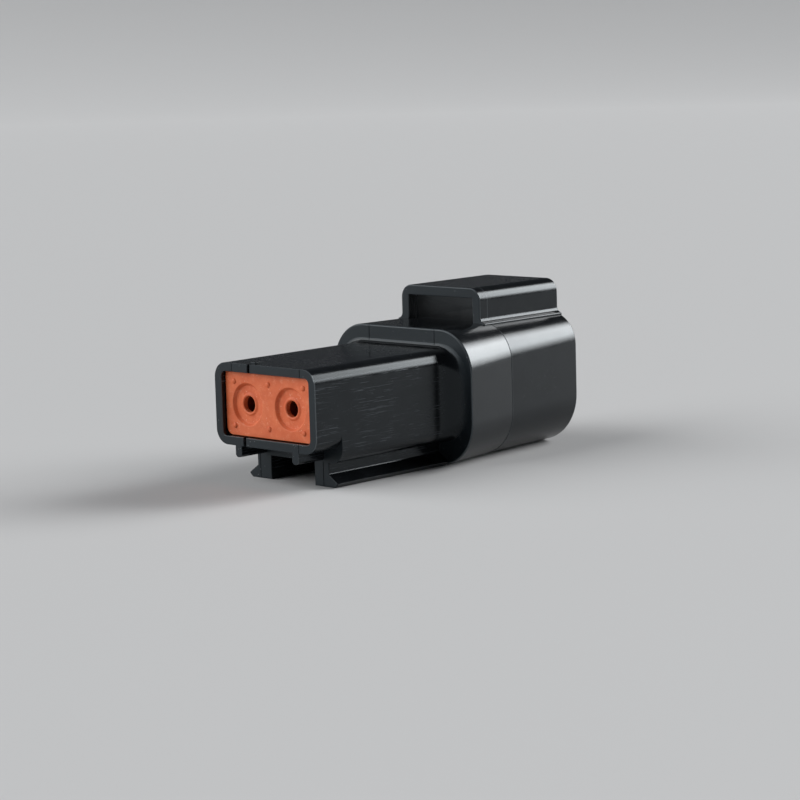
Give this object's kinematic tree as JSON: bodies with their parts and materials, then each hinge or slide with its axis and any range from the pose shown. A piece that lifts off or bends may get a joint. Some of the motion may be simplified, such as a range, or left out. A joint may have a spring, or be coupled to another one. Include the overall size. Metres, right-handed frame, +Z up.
{
  "type": "sealed two-way receptacle connector",
  "caption": "Sealed rectangular plug-in connector half: moulded housing with mating shroud, latch keeper, mounting rails, rear wire seal, wedge lock and pin contacts.",
  "frame": {"origin": "under the middle of the part's box, on the surface that the rails and the shroud stand on", "axes": "+Y along the mating axis towards the mouth of the shroud, +Z up through the latch keeper, +X to the right seen from the wire end"},
  "size_m": [0.0226, 0.044, 0.0203],
  "materials": {
    "housing_plastic": "black moulded thermoplastic, semi-gloss",
    "seal_silicone": "orange silicone, matt",
    "wedge_plastic": "orange moulded thermoplastic",
    "contact_plating": "nickel-plated copper alloy"
  },
  "bodies": {
    "connector": {"housing": "housing_plastic", "wire_seal": "seal_silicone", "pin_contact_left": "contact_plating", "pin_contact_right": "contact_plating"},
    "wedge": {"wedge_lock": "wedge_plastic"}
  },
  "joints": [
    {"name": "wedge_slide", "type": "slide", "parent": "connector", "child": "wedge", "axis": [0, 1, 0], "range_m": [0, 0.013]}
  ]
}
